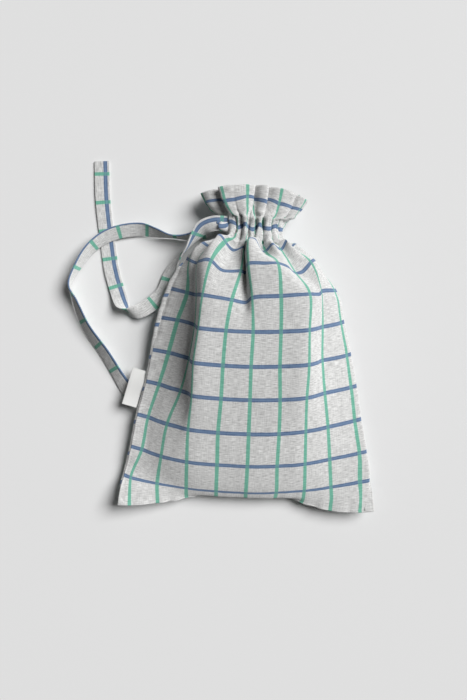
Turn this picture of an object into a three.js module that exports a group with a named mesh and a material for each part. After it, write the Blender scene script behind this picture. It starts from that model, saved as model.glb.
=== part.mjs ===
// Drawstring bread bag of checked cloth, filled, lying on its back with its neck drawn in.
// Millimetres. +X runs across the bag, +Y toward the neck, +Z up from the table.
import * as THREE from 'three';

// Cloth and sewing
const CLOTH = 0.8;
const SEAM_WIDTH = 10;
const SEAM_THICKNESS = 1.6;
const SEWN_GAP = 0.3;

// Outline of the filled body, half of it, seen from above
const BODY_LENGTH = 321;
const BOTTOM_HALF_WIDTH = 151.5;
const BOTTOM_TAPER = 0.15;
const BOTTOM_HANDLE = 88;
const BOTTOM_INSET = 12;
const BOTTOM_INSET_RUN = 120;
const SHOULDER_HALF_WIDTH = 90;
const SHOULDER_BELOW_NECK = 43;
const SHOULDER_SLOPE = 0.42;
const SHOULDER_HANDLE = 65;
const CROOK_HANDLE = 26;
const CROOK_REACH = 26;
const CROOK_DROP = 2;

// Height of the filled body
const SEAM_HEIGHT = 15;
const SEAM_CLIMB_RUN = 120;
const BOTTOM_CROWN = 30;
const CROWN_HEIGHT = 79;
const CROWN_BELOW_NECK = 86;
const SHOULDER_FULLNESS = 4;
const LEFT_FLANGE = 52;
const LEFT_FLANGE_TAPER = 0.5;
const RIGHT_FLANGE = 54;
const RIGHT_FLANGE_TAPER = 0.75;
const FLANGE_SLOPE = 0.62;
const RIGHT_FLANGE_SLOPE_AT_NECK = 1.15;
const LEFT_FLANK = 77.5;
const LEFT_FLANK_RUN = 130;
const LEFT_STEEPNESS = 7;
const RIGHT_STEEPNESS = 5.5;
const FLANK_ROUNDNESS = 0.65;
const BOTTOM_ROUND = 22;
const BACK_ROLL = 52;
const BACK_ROUND = 24;
const BACK_LIFT_RUN = 75;

// Drawn neck
const NECK_HALF_WIDTH = 34.5;
const NECK_HALF_HEIGHT = 18;
const NECK_CENTER_HEIGHT = 24;
const PLEATS = 9;
const PLEAT_DEPTH = 1.6;
const PLEAT_RUN = 70;

// Folds from the neck down the front: across the bag at the neck, across it at the lower end,
// reach below the neck, depth and half width
const SHOULDER_FOLDS = [
  [-14, -14, 66, 14, 9],
  [10, 12, 44, 9, 6],
  [30, 58, 66, 10, 8],
];

// Tie and the channel that it slides in
const TIE_WIDTH = 18;
const TIE_THICKNESS = 1.6;
const CHANNEL_CLEARANCE = 0.5;
const STITCH_MARGIN = 1.2;
const TIE_GRIP = 43;
const TAIL_STEPS = 44;

// Frill above the casing
const FRILL_LENGTH = 34;
const FRILL_DIP = 16;
const FRILL_HALF_WIDTH = 57.5;
const FRILL_HALF_HEIGHT = 22;
const FRILL_WAVES = 7;
const FRILL_WAVE_DEPTH = 3;

// Stitch rows and label
const THREAD = 0.5;
const LABEL_LENGTH = 45;
const LABEL_REACH = 15;
const LABEL_THICKNESS = 0.9;
const LABEL_FROM_BOTTOM = 135;

// Mesh fineness
const PANEL_ROWS = 20;
const ROW_CROWDING = 0.85;
const PANEL_COLUMNS = 36;
const COLUMNS_ON_LOAF = 2 / 3;
const EVEN_COLUMNS_RUN = 90;
const RING_STEPS = 45;
const FRILL_ROWS = 3;
const SEAM_STEPS = 24;

// Sizes that follow from the ones above
const CHANNEL_HALF_DEPTH = TIE_THICKNESS / 2 + CHANNEL_CLEARANCE;
const CHANNEL_HALF_WIDTH = TIE_WIDTH / 2 + CHANNEL_CLEARANCE;
const CASING_HALF_DEPTH = CHANNEL_HALF_DEPTH + CLOTH;
const CASING_HALF_WIDTH = CHANNEL_HALF_WIDTH + STITCH_MARGIN;
const CASING_WIDTH = 2 * CASING_HALF_WIDTH;
const OVERALL_LENGTH = BODY_LENGTH + CASING_WIDTH + FRILL_LENGTH + 2 * SEWN_GAP;
const BOTTOM_Y = -OVERALL_LENGTH / 2;
const NECK_Y = BOTTOM_Y + BODY_LENGTH;
const CASING_Y = NECK_Y + SEWN_GAP + CASING_HALF_WIDTH;
const FRILL_Y = CASING_Y + CASING_HALF_WIDTH + SEWN_GAP;
const RING_RADIUS = NECK_HALF_HEIGHT - CASING_HALF_DEPTH;
const RING_TURN_X = NECK_HALF_WIDTH - NECK_HALF_HEIGHT;
const RING_STRAIGHT = RING_TURN_X + NECK_HALF_WIDTH;
const RING_LENGTH = RING_STRAIGHT + RING_RADIUS * Math.PI / 2 - SEWN_GAP / 2;

// Free route of each tail, hand placed: across and along from the mouth of the casing, height
// above the table, and how far the band is rolled over from lying flat, in degrees.
const FRONT_TAIL_ROUTE = [
  [-11.5, 0, 39.8, 0],
  [-25.5, -4.5, 36, -25],
  [-34.5, -15, 29.8, -55],
  [-42.5, -26, 23, -85],
  [-51, -35.5, 16, -105],
  [-59, -45.5, 10.8, -125],
  [-66, -60.5, 8.2, -148],
  [-71.5, -79, 8, -165],
  [-87, -96, 10, -178],
  [-101.5, -104, 11.5, -195],
  [-114, -104, 10.4, -262],
  [-120.5, -97, 6.8, -325],
  [-127, -82, 3, -353],
  [-135.5, -55.5, 1.8, -357],
  [-142, -19, 1.6, -361],
  [-149, 29, 1.7, -358],
  [-152, 76, 1.8, -362],
];
const BACK_TAIL_ROUTE = [
  [-13, -2, 8.6, -14],
  [-42, -12.5, 11, -70],
  [-64, -13, 11.4, -86],
  [-84, -9, 10.8, -56],
  [-102.5, -5.5, 7.6, -25],
  [-136, -12.5, 7.8, -22],
  [-159.5, -29, 10, -40],
  [-174.5, -52, 11.8, -60],
  [-184, -75.5, 10.6, -90],
  [-177, -95, 10, -115],
  [-163, -125, 8.6, -128],
  [-140, -156, 7.4, -136],
  [-120, -186.5, 6.2, -146],
  [-107.5, -204, 3.8, -165],
  [-100.5, -213, 2.8, -172],
];

// Colours
const CLOTH_COLOR = '#cdcbc7';
const SEAM_COLOR = '#c3c1bd';
const THREAD_COLOR = '#dedcd8';
const LABEL_COLOR = '#ececea';

function fabric(color, roughness) {
  return new THREE.MeshStandardMaterial({ color, roughness, metalness: 0 });
}

function ease(value) {
  const t = THREE.MathUtils.clamp(value, 0, 1);
  return t * t * (3 - 2 * t);
}

function rounded(t, power) {
  return Math.pow(1 - Math.pow(1 - Math.min(t, 1), power), 1 / power);
}

// Closed solid between two grids of points of the same size
function shell(outer, inner, wraps = false) {
  const rows = outer.length;
  const columns = outer[0].length;
  const below = rows * columns;
  const spans = wraps ? columns : columns - 1;
  const faces = [];
  const quad = (a, b, c, d) => faces.push(a, b, c, a, c, d);
  const at = (row, column) => row * columns + column % columns;
  const edge = (a, b) => quad(b, a, below + a, below + b);
  for (let row = 0; row < rows - 1; row += 1) {
    for (let column = 0; column < spans; column += 1) {
      const corners = [
        at(row, column),
        at(row, column + 1),
        at(row + 1, column + 1),
        at(row + 1, column),
      ];
      quad(...corners);
      quad(...corners.map((corner) => below + corner).reverse());
    }
  }
  for (let column = 0; column < spans; column += 1) {
    edge(at(0, column), at(0, column + 1));
    edge(at(rows - 1, column + 1), at(rows - 1, column));
  }
  if (!wraps) {
    for (let row = 0; row < rows - 1; row += 1) {
      edge(at(row + 1, 0), at(row, 0));
      edge(at(row, columns - 1), at(row + 1, columns - 1));
    }
  }
  return facingOut([...outer.flat(), ...inner.flat()], faces);
}

function facingOut(points, faces) {
  let volume = 0;
  for (let face = 0; face < faces.length; face += 3) {
    const [a, b, c] = faces.slice(face, face + 3).map((corner) => points[corner]);
    volume += a.dot(new THREE.Vector3().crossVectors(b, c));
  }
  const geometry = new THREE.BufferGeometry().setFromPoints(points);
  geometry.setIndex(volume > 0 ? faces : faces.toReversed());
  geometry.computeVertexNormals();
  return geometry;
}

// Normals of a grid of points, on the given side of it along Z
function gridNormals(grid, side) {
  const pick = (list, index) => list[THREE.MathUtils.clamp(index, 0, list.length - 1)];
  return grid.map((row, i) => row.map((_, j) => {
    const along = pick(grid, i + 1)[j].clone().sub(pick(grid, i - 1)[j]);
    const across = pick(row, j + 1).clone().sub(pick(row, j - 1));
    return across.cross(along).normalize().multiplyScalar(side);
  }));
}

// Half outline of the body from a bottom corner to the neck, as half width and length
function makeOutline() {
  const shoulder = new THREE.Vector2(SHOULDER_HALF_WIDTH, BODY_LENGTH - SHOULDER_BELOW_NECK);
  const slope = new THREE.Vector2(-SHOULDER_SLOPE, 1);
  const outline = new THREE.CurvePath();
  outline.add(new THREE.CubicBezierCurve(
    new THREE.Vector2(BOTTOM_HALF_WIDTH, 0),
    new THREE.Vector2(BOTTOM_HALF_WIDTH - BOTTOM_TAPER * BOTTOM_HANDLE, BOTTOM_HANDLE),
    shoulder.clone().addScaledVector(slope, -SHOULDER_HANDLE),
    shoulder,
  ));
  outline.add(new THREE.CubicBezierCurve(
    shoulder,
    shoulder.clone().addScaledVector(slope, CROOK_HANDLE),
    new THREE.Vector2(NECK_HALF_WIDTH + CROOK_REACH, BODY_LENGTH - CROOK_DROP),
    new THREE.Vector2(NECK_HALF_WIDTH, BODY_LENGTH),
  ));
  return outline;
}
const outline = makeOutline();

function outlineShareAt(fromBottom) {
  let low = 0;
  let high = 1;
  while (high - low > 1e-6) {
    const middle = (low + high) / 2;
    if (outline.getPointAt(middle).y < fromBottom) {
      low = middle;
    } else {
      high = middle;
    }
  }
  return low;
}

function seamHeight(fromBottom) {
  const climb = ease(1 - (BODY_LENGTH - fromBottom) / SEAM_CLIMB_RUN);
  return THREE.MathUtils.lerp(SEAM_HEIGHT, NECK_CENTER_HEIGHT, climb);
}

function crownHeight(fromBottom) {
  const crownAt = BODY_LENGTH - CROWN_BELOW_NECK;
  if (fromBottom < crownAt) {
    const climb = Math.sin(Math.PI / 2 * fromBottom / crownAt);
    return THREE.MathUtils.lerp(BOTTOM_CROWN, CROWN_HEIGHT, climb);
  }
  const drop = ((fromBottom - crownAt) / CROWN_BELOW_NECK) ** SHOULDER_FULLNESS;
  return THREE.MathUtils.lerp(CROWN_HEIGHT, NECK_CENTER_HEIGHT + NECK_HALF_HEIGHT, drop);
}

function bottomInset(across, fromBottom) {
  return BOTTOM_INSET * (1 - across * across) * Math.max(0, 1 - fromBottom / BOTTOM_INSET_RUN);
}

// Half width of the loaf on one side: its left flank is steep, and slack cloth lies beside it
function loafReach(x, halfWidth, fromBottom) {
  const belowNeck = Math.max(0, 1 - fromBottom / BODY_LENGTH);
  if (x >= 0) {
    return halfWidth - RIGHT_FLANGE * belowNeck ** RIGHT_FLANGE_TAPER;
  }
  const loaf = halfWidth - LEFT_FLANGE * belowNeck ** LEFT_FLANGE_TAPER;
  const flank = THREE.MathUtils.lerp(loaf, LEFT_FLANK, ease(fromBottom / LEFT_FLANK_RUN));
  return Math.min(loaf, flank);
}

function foldDepth(x, fromBottom) {
  let depth = 0;
  for (const [atNeck, atEnd, reach, deepest, halfWidth] of SHOULDER_FOLDS) {
    const share = Math.min(1, (BODY_LENGTH - fromBottom) / reach);
    const aside = (x - THREE.MathUtils.lerp(atNeck, atEnd, share)) / halfWidth;
    depth += deepest * Math.sin(Math.PI * share ** 0.6) * Math.exp(-aside * aside);
  }
  return depth;
}

// Front cloth: a rounded loaf shape with slack cloth sloping out to the side seams, folded at the neck
function frontHeight(x, halfWidth, fromBottom) {
  const rim = seamHeight(fromBottom) + SEAM_THICKNESS / 2 + SEWN_GAP;
  const rise = crownHeight(fromBottom) - rim;
  const loaf = loafReach(x, halfWidth, fromBottom);
  const flange = halfWidth - loaf;
  const slopeAtNeck = x < 0 ? FLANGE_SLOPE : RIGHT_FLANGE_SLOPE_AT_NECK;
  const slope = THREE.MathUtils.lerp(FLANGE_SLOPE, slopeAtNeck, ease(fromBottom / BODY_LENGTH));
  const flangeRise = slope * flange * rise / (CROWN_HEIGHT - SEAM_HEIGHT);
  const across = Math.abs(x);
  const steepness = x < 0 ? LEFT_STEEPNESS : RIGHT_STEEPNESS;
  const height = across > loaf
    ? flangeRise * (halfWidth - across) / flange
    : flangeRise + (rise - flangeRise) * (1 - (across / loaf) ** steepness) ** FLANK_ROUNDNESS;
  const folded = height * (1 - foldDepth(x, fromBottom) / rise);
  return rim + folded * rounded(fromBottom / BOTTOM_ROUND, 2.4);
}

// Back cloth: flat on the table, rolling up to the seams and lifting off toward the neck
function backHeight(x, halfWidth, fromBottom) {
  const rim = seamHeight(fromBottom) - SEAM_THICKNESS / 2 - SEWN_GAP;
  const lift = ease(1 - (BODY_LENGTH - fromBottom) / BACK_LIFT_RUN);
  const floor = (NECK_CENTER_HEIGHT - NECK_HALF_HEIGHT) * lift;
  const roll = BACK_ROLL * halfWidth / BOTTOM_HALF_WIDTH;
  const sideRise = Math.max(0, 1 - (halfWidth - Math.abs(x)) / roll) ** 1.4;
  const endRise = Math.max(0, 1 - fromBottom / BACK_ROUND) ** 1.6;
  return floor + (rim - floor) * (1 - (1 - sideRise) * (1 - endRise));
}

// Points of the outline, closer together toward the bottom and the neck
const outlineRows = Array.from({ length: PANEL_ROWS + 1 }, (_, row) => {
  const share = row / PANEL_ROWS;
  return outline.getPointAt(share - ROW_CROWDING * Math.sin(2 * Math.PI * share) / (2 * Math.PI));
});

// Place across the bag of each column: most lie on the loaf and crowd toward its flanks
function columnPlace(column, halfWidth, fromBottom) {
  const share = 2 * column / PANEL_COLUMNS - 1;
  const loaf = loafReach(share, halfWidth, fromBottom);
  const onLoaf = Math.abs(share) / COLUMNS_ON_LOAF;
  const beyond = (Math.abs(share) - COLUMNS_ON_LOAF) / (1 - COLUMNS_ON_LOAF);
  const place = onLoaf < 1
    ? loaf * Math.sin(Math.PI / 2 * onLoaf)
    : THREE.MathUtils.lerp(loaf, halfWidth, beyond);
  const even = ease(1 - (BODY_LENGTH - fromBottom) / EVEN_COLUMNS_RUN);
  return THREE.MathUtils.lerp(Math.sign(share) * place, share * halfWidth, even);
}

function panelGrid(heightAt) {
  const grid = [];
  for (const { x: halfWidth, y: fromBottom } of outlineRows) {
    const line = [];
    for (let column = 0; column <= PANEL_COLUMNS; column += 1) {
      const x = columnPlace(column, halfWidth, fromBottom);
      line.push(new THREE.Vector3(
        x,
        BOTTOM_Y + fromBottom + bottomInset(x / halfWidth, fromBottom),
        heightAt(x, halfWidth, fromBottom),
      ));
    }
    grid.push(line);
  }
  return grid;
}

// Gathers that deepen toward the neck, pushed outward and level with the table
function gathered(grid, side) {
  const normals = gridNormals(grid, side);
  return grid.map((row, i) => row.map((point, j) => {
    const depth = PLEAT_DEPTH * ease(1 - (NECK_Y - point.y) / PLEAT_RUN);
    const push = depth * pleat(j / PANEL_COLUMNS);
    const normal = normals[i][j];
    return point.clone().add(new THREE.Vector3(normal.x * push, 0, normal.z * push));
  }));
}

function pleat(share) {
  return (1 - Math.cos(2 * Math.PI * PLEATS * share)) / 2;
}

// Inner face of a panel: one layer in, cut level at the seams and square at the neck
function insetGrid(grid, side) {
  const normals = gridNormals(grid, side);
  return grid.map((row, i) => row.map((point, j) => {
    const inward = normals[i][j].clone().multiplyScalar(-CLOTH);
    const onSeam = i === 0 || j === 0 || j === row.length - 1;
    if (onSeam) {
      const level = Math.hypot(inward.x, inward.y) / CLOTH;
      inward.z = 0;
      inward.multiplyScalar(1 / Math.max(level, 0.35) ** 2);
    }
    const inside = point.clone().add(inward);
    inside.y = i === grid.length - 1 ? NECK_Y : Math.min(inside.y, NECK_Y - SEWN_GAP);
    return inside;
  }));
}

function panel(heightAt, side) {
  const outer = gathered(panelGrid(heightAt), side);
  return shell(outer, insetGrid(outer, side));
}

// Turned-in seam allowances, level strips between the rims of the two panels
function strip(edges) {
  const layer = (lift) => edges.map((line) => line.map((point) => point.clone().setZ(point.z + lift)));
  return shell(layer(SEAM_THICKNESS / 2), layer(-SEAM_THICKNESS / 2));
}

function sideSeam(side) {
  return strip(outlineRows.map(({ x, y }) => [
    new THREE.Vector3(side * x, BOTTOM_Y + y, seamHeight(y)),
    new THREE.Vector3(side * (x - SEAM_WIDTH), BOTTOM_Y + y, seamHeight(y)),
  ]));
}

function bottomSeam() {
  const besideEnd = outline.getPointAt(outlineShareAt(SEAM_WIDTH)).x;
  const reach = besideEnd - SEAM_WIDTH - SEWN_GAP;
  const edges = [];
  for (let step = 0; step <= SEAM_STEPS; step += 1) {
    const x = reach * (2 * step / SEAM_STEPS - 1);
    const y = BOTTOM_Y + bottomInset(x / BOTTOM_HALF_WIDTH, 0);
    edges.push([
      new THREE.Vector3(x, y, SEAM_HEIGHT),
      new THREE.Vector3(x, y + SEAM_WIDTH, SEAM_HEIGHT),
    ]);
  }
  return strip(edges);
}

// Middle line of the channel from its mouth on the left to the right seam, with its outward side
function ringAt(distance, side) {
  const turn = Math.max(0, distance - RING_STRAIGHT) / RING_RADIUS;
  const straight = Math.min(distance, RING_STRAIGHT);
  const out = new THREE.Vector3(Math.sin(turn), 0, side * Math.cos(turn));
  const point = new THREE.Vector3(straight - NECK_HALF_WIDTH, CASING_Y, NECK_CENTER_HEIGHT);
  return { point: point.addScaledVector(out, RING_RADIUS), out };
}

function ringPoint({ point, out }, depth, along) {
  const moved = point.clone().addScaledVector(out, depth);
  moved.y += along;
  return moved;
}

function ringShares() {
  return Array.from({ length: RING_STEPS + 1 }, (_, step) => step / RING_STEPS);
}

// Casing: a sleeve with its channel right through it, gathered on the outside
function casing(side) {
  const outer = [];
  const inner = [];
  for (const share of ringShares()) {
    const place = ringAt(share * RING_LENGTH, side);
    const outside = CASING_HALF_DEPTH + PLEAT_DEPTH * pleat(share);
    outer.push([
      ringPoint(place, outside, -CASING_HALF_WIDTH),
      ringPoint(place, outside, CASING_HALF_WIDTH),
      ringPoint(place, -CASING_HALF_DEPTH, CASING_HALF_WIDTH),
      ringPoint(place, -CASING_HALF_DEPTH, -CASING_HALF_WIDTH),
    ]);
    inner.push([
      ringPoint(place, CHANNEL_HALF_DEPTH, -CHANNEL_HALF_WIDTH),
      ringPoint(place, CHANNEL_HALF_DEPTH, CHANNEL_HALF_WIDTH),
      ringPoint(place, -CHANNEL_HALF_DEPTH, CHANNEL_HALF_WIDTH),
      ringPoint(place, -CHANNEL_HALF_DEPTH, -CHANNEL_HALF_WIDTH),
    ]);
  }
  return shell(outer, inner, true);
}

// Row of thread that follows the gathers of the casing near one of its edges
function stitchRow(side, edge) {
  const along = edge * (CASING_HALF_WIDTH - STITCH_MARGIN / 2);
  const layer = (lift) => ringShares().map((share) => {
    const place = ringAt(share * RING_LENGTH, side);
    const depth = CASING_HALF_DEPTH + PLEAT_DEPTH * pleat(share) + SEWN_GAP + lift;
    return [-THREAD / 2, THREAD / 2].map((half) => ringPoint(place, depth, along + half));
  });
  return shell(layer(THREAD), layer(0));
}

// Frill: two layers of cloth that spread and wave above the casing
function frill(side) {
  const spreadX = FRILL_HALF_WIDTH / NECK_HALF_WIDTH;
  const spreadZ = FRILL_HALF_HEIGHT / NECK_HALF_HEIGHT;
  const layer = (lift) => ringShares().map((share) => {
    const { point, out } = ringAt(share * RING_LENGTH, side);
    const offCenter = Math.min(1, Math.abs(point.x) / NECK_HALF_WIDTH);
    const wave = FRILL_WAVE_DEPTH * Math.sin(2 * Math.PI * FRILL_WAVES * share);
    const line = [];
    for (let row = 0; row <= FRILL_ROWS; row += 1) {
      const up = row / FRILL_ROWS;
      line.push(new THREE.Vector3(
        point.x * THREE.MathUtils.lerp(1, spreadX, up),
        FRILL_Y + up * (FRILL_LENGTH - FRILL_DIP * offCenter * offCenter),
        NECK_CENTER_HEIGHT + (point.z - NECK_CENTER_HEIGHT) * THREE.MathUtils.lerp(1, spreadZ, up),
      ).addScaledVector(out, wave * up + lift));
    }
    return line;
  });
  return shell(layer(CLOTH), layer(-CLOTH));
}

// Fixed part of the tie, round the neck inside both channels
function tieLoop() {
  const front = [];
  const back = [];
  for (const share of ringShares()) {
    const distance = THREE.MathUtils.lerp(TIE_GRIP + SEWN_GAP, RING_LENGTH, share);
    front.push(ringAt(distance, 1));
    back.push(ringAt(distance, -1));
  }
  const places = [...front, ...back.reverse()];
  const layer = (depth) => places.map((place) => [
    ringPoint(place, depth, -TIE_WIDTH / 2),
    ringPoint(place, depth, TIE_WIDTH / 2),
  ]);
  return shell(layer(TIE_THICKNESS / 2), layer(-TIE_THICKNESS / 2));
}

// Tail of the tie: straight in its channel, then free along its route, turning as it goes
function tail(route, side) {
  const height = NECK_CENTER_HEIGHT + side * RING_RADIUS;
  const channel = [TIE_GRIP, TIE_GRIP / 2, 0].map((inside) => [inside, 0, height, 0]);
  const stops = [...channel, ...route];
  const curve = new THREE.CatmullRomCurve3(
    stops.map(([x, y, z]) => new THREE.Vector3(x - NECK_HALF_WIDTH, y + CASING_Y, z)),
  );
  const upper = [];
  const lower = [];
  for (let step = 0; step <= TAIL_STEPS; step += 1) {
    const t = curve.getUtoTmapping(step / TAIL_STEPS);
    const stop = Math.min(Math.floor(t * (stops.length - 1)), stops.length - 2);
    const share = t * (stops.length - 1) - stop;
    const roll = THREE.MathUtils.degToRad(THREE.MathUtils.lerp(stops[stop][3], stops[stop + 1][3], share));
    const heading = curve.getTangent(t);
    const left = new THREE.Vector3(0, 0, 1).cross(heading).normalize();
    const across = left.applyAxisAngle(heading, roll);
    const face = heading.clone().cross(across);
    const middle = curve.getPoint(t);
    const line = (lift) => [-0.5, 0.5].map((half) => middle.clone()
      .addScaledVector(across, half * TIE_WIDTH)
      .addScaledVector(face, lift));
    upper.push(line(TIE_THICKNESS / 2));
    lower.push(line(-TIE_THICKNESS / 2));
  }
  return shell(upper, lower);
}

// Folded label, hinged on its sewn edge at the left side seam
function label() {
  const share = outlineShareAt(LABEL_FROM_BOTTOM);
  const { x, y } = outline.getPointAt(share);
  const heading = outline.getTangentAt(share);
  const clear = LABEL_THICKNESS / 2 + SEWN_GAP;
  const geometry = new THREE.BoxGeometry(LABEL_REACH, LABEL_LENGTH, LABEL_THICKNESS);
  geometry.translate(-LABEL_REACH / 2 - clear, 0, 0);
  const mesh = new THREE.Mesh(geometry, fabric(LABEL_COLOR, 0.7));
  mesh.position.set(-x, BOTTOM_Y + y, seamHeight(y));
  mesh.rotation.z = Math.atan2(heading.x, heading.y);
  return mesh;
}

function piece(name, geometry, color) {
  const mesh = new THREE.Mesh(geometry, fabric(color, 0.9));
  mesh.name = name;
  return mesh;
}

const bag = new THREE.Group();
bag.add(piece('front_panel', panel(frontHeight, 1), CLOTH_COLOR));
bag.add(piece('back_panel', panel(backHeight, -1), CLOTH_COLOR));
bag.add(piece('side_seam_left', sideSeam(-1), SEAM_COLOR));
bag.add(piece('side_seam_right', sideSeam(1), SEAM_COLOR));
bag.add(piece('bottom_seam', bottomSeam(), SEAM_COLOR));
for (const [half, side] of [['front', 1], ['back', -1]]) {
  bag.add(piece(`${half}_casing`, casing(side), CLOTH_COLOR));
  bag.add(piece(`${half}_frill`, frill(side), CLOTH_COLOR));
  bag.add(piece(`${half}_stitches_lower`, stitchRow(side, -1), THREAD_COLOR));
  bag.add(piece(`${half}_stitches_upper`, stitchRow(side, 1), THREAD_COLOR));
}
bag.add(piece('tie_loop', tieLoop(), CLOTH_COLOR));
bag.add(piece('front_tail', tail(FRONT_TAIL_ROUTE, 1), CLOTH_COLOR));
bag.add(piece('back_tail', tail(BACK_TAIL_ROUTE, -1), CLOTH_COLOR));
const sewnLabel = label();
sewnLabel.name = 'label';
bag.add(sewnLabel);

export default bag;
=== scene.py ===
# %% [markdown]
# # A drawstring bread bag
# A soft cloth bag lies on its back, filled with a loaf. It is sewn from two panels of checked cloth,
# drawn together at the neck by a flat tie that runs in a stitched casing, and it has a small folded
# label in its left side seam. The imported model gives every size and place, and this lesson dresses it.

# %% Load the frame
import math

import bpy
import numpy as np
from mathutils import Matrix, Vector, noise


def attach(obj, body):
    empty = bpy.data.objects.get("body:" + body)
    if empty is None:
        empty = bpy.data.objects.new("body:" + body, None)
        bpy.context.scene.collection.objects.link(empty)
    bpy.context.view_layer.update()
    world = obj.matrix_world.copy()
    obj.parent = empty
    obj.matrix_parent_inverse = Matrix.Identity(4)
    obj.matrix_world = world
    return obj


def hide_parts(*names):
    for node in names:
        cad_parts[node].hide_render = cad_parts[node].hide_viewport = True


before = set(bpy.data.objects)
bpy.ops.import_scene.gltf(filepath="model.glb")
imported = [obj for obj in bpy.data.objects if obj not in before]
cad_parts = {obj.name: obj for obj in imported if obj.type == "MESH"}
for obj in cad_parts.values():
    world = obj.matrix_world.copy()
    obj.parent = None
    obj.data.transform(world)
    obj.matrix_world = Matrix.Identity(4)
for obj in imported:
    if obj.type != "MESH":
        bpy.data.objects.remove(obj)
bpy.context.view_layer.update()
MM = 0.001
scene = bpy.context.scene

# %% [markdown]
# ## The camera
# The bag is seen from straight above, turned a little on the table. A real camera on a copy stand
# would do the same, so the camera looks down its own -Z with one small turn about that line.

# %% Camera over the table
CAMERA_PLACE = (-0.020, -0.003, 1.0)
CAMERA_TURN = math.radians(1.9)
CAMERA_LENS = 42.5
SENSOR_WIDTH = 36

bpy.ops.object.select_all(action="DESELECT")
bpy.ops.object.camera_add(location=CAMERA_PLACE, rotation=(0, 0, CAMERA_TURN))
camera = bpy.context.object
camera.name = "camera"
camera.data.lens = CAMERA_LENS
camera.data.sensor_width = SENSOR_WIDTH
camera.data.sensor_fit = "AUTO"
scene.camera = camera
print("camera", camera.name, "at", tuple(round(v, 3) for v in camera.location))

# %% [markdown]
# ## Smooth lines through a few points
# Cloth and tape both follow smooth lines through a few known points. A cubic curve whose slope at each
# point comes from its neighbours goes through all of them without corners. Blender's own curves could do
# it for one line, but numpy does it for whole rows of cloth at once.


# %% A smooth line through points
def hermite(t, start, start_slope, end, end_slope):
    return (
        (2 * t**3 - 3 * t**2 + 1) * start + (t**3 - 2 * t**2 + t) * start_slope
        + (3 * t**2 - 2 * t**3) * end + (t**3 - t**2) * end_slope
    )


def smooth_through(stops, values, at):
    stops = np.asarray(stops, float)
    values = np.asarray(values, float)
    at = np.asarray(at, float)
    slopes = np.gradient(values, stops, axis=0)
    low = np.clip(np.searchsorted(stops, at, side="right") - 1, 0, len(stops) - 2)
    span = stops[low + 1] - stops[low]
    t = (at - stops[low]) / span
    wide = (len(at),) + (1,) * (values.ndim - 1)
    t, span = t.reshape(wide), span.reshape(wide)
    return hermite(t, values[low], span * slopes[low], values[low + 1], span * slopes[low + 1])


def straight_through(stops, values, at):
    return np.stack([np.interp(at, stops, column) for column in np.transpose(values)], -1)


# %% Steps and lengths
def rise(at, start, end):
    """0 up to the start, 1 from the end on, and a soft step between them."""
    t = np.clip((at - start) / (end - start), 0, 1)
    return t * t * (3 - 2 * t)


def run_along(points):
    """How far along the line each of its points lies."""
    return np.concatenate([[0], np.cumsum(np.linalg.norm(np.diff(points, axis=0), axis=1))])


# %% [markdown]
# ## Meshes from rows of points
# A cloth piece is a grid of points in rows, and a band or a seam is a small section carried along a
# line. Two helpers turn them into faces. Both keep the flat place of each point, on the cut cloth, as
# the UV map that the woven check follows.


# %% Grids and sweeps
def choose(piece):
    bpy.ops.object.select_all(action="DESELECT")
    piece.select_set(True)
    bpy.context.view_layer.objects.active = piece


def add_piece(name, points, faces):
    mesh = bpy.data.meshes.new(name)
    mesh.from_pydata((points.reshape(-1, 3) * MM).tolist(), [], faces)
    mesh.polygons.foreach_set("use_smooth", np.ones(len(mesh.polygons), dtype=bool))
    piece = bpy.data.objects.new(name, mesh)
    scene.collection.objects.link(piece)
    return piece


def lay_flat(piece, flat):
    layer = piece.data.uv_layers.new(name="flat")
    corners = np.empty(len(piece.data.loops), dtype=np.int32)
    piece.data.loops.foreach_get("vertex_index", corners)
    layer.data.foreach_set("uv", (flat.reshape(-1, 2)[corners] * MM).ravel())


def cloth_mesh(name, points, flat):
    index = np.arange(points.shape[0] * points.shape[1]).reshape(points.shape[:2])
    faces = np.stack([index[:-1, :-1], index[:-1, 1:], index[1:, 1:], index[1:, :-1]], -1)
    piece = add_piece(name, points, faces.reshape(-1, 4).tolist())
    lay_flat(piece, flat)
    return piece


SHARP_EDGE = math.radians(50)


def swept(name, line, aside, upward, section):
    """A closed section carried along a line and closed at both ends."""
    section = np.asarray(section, float)
    points = line[:, None] + aside[:, None] * section[None, :, :1] + upward[:, None] * section[None, :, 1:]
    index = np.arange(points.shape[0] * points.shape[1]).reshape(points.shape[:2])
    turned = np.roll(index, -1, axis=1)
    faces = np.stack([index[:-1], index[1:], turned[1:], turned[:-1]], -1).reshape(-1, 4).tolist()
    piece = add_piece(name, points, faces + [index[0].tolist(), index[-1][::-1].tolist()])
    choose(piece)
    bpy.ops.object.mode_set(mode="EDIT")
    bpy.ops.mesh.select_all(action="SELECT")
    bpy.ops.mesh.normals_make_consistent(inside=False)
    bpy.ops.object.mode_set(mode="OBJECT")
    bpy.ops.object.shade_smooth_by_angle(angle=SHARP_EDGE)
    return piece


def unit(vectors):
    return vectors / np.maximum(np.linalg.norm(vectors, axis=-1, keepdims=True), 1e-9)


def dress(piece, body, nodes):
    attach(piece, body)
    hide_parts(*nodes)


# %% [markdown]
# ## The tie's two tails
# The tie is a strip of the same cloth, folded and stitched to a flat band 18 mm wide. Both ends leave
# the casing on the left and lie in loose curls on the table. A bevelled curve can't carry the band's
# twist and its stripe, so the band is swept in code: at each step along the route a flat section is
# turned by the roll that the band has there.

# %% Routes of the tails
# Each stop is (x, y, z, roll): x and y in millimetres from the casing's mouth, z from the table, and the
# roll in degrees.
TIE_WIDTH = 18
TIE_THICKNESS = 1.6
MOUTH_X = -34.5
CASING_Y = 143.5
TIE_GRIP = 29
FRONT_CHANNEL_Z = 39.9
BACK_CHANNEL_Z = 8.1
TAIL_STEPS = 170
CURVE_STEPS = 60

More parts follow.
